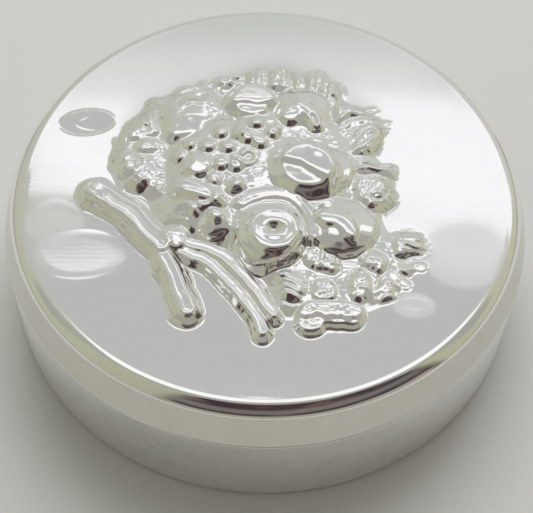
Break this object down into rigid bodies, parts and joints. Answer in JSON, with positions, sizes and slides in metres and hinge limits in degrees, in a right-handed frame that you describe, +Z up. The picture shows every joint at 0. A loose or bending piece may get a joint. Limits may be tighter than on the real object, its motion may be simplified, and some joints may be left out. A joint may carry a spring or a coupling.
{
  "type": "pill box",
  "caption": "Round silver pill box with a lift-off lid, pressed with a raised bouquet of fruit, leaves and stalks.",
  "frame": {"origin": "centre of the underside of the base", "axes": "+Z up through the lid, +Y away from the side where the stalks of the bouquet point"},
  "size_m": [0.05, 0.05, 0.0167],
  "materials": {
    "relief_silver": "mirror polished, with fine wear scratches",
    "side_silver": "polished, finely scratched round the side",
    "inside_silver": "satin, turned marks",
    "collar_silver": "polished, rubbed by the lid",
    "solder_silver": "dull, slightly yellow"
  },
  "bodies": {
    "base": {"base_floor": "inside_silver", "base_wall": "side_silver", "inner_collar": "collar_silver", "floor_solder": "solder_silver", "collar_solder": "solder_silver"},
    "lid": {"lid_plate": "relief_silver", "lid_band": "side_silver", "lid_solder": "solder_silver"}
  },
  "joints": [
    {"name": "lid_lift", "type": "slide", "parent": "base", "child": "lid", "axis": [0, 0, 1], "range_m": [0, 0.03]}
  ]
}
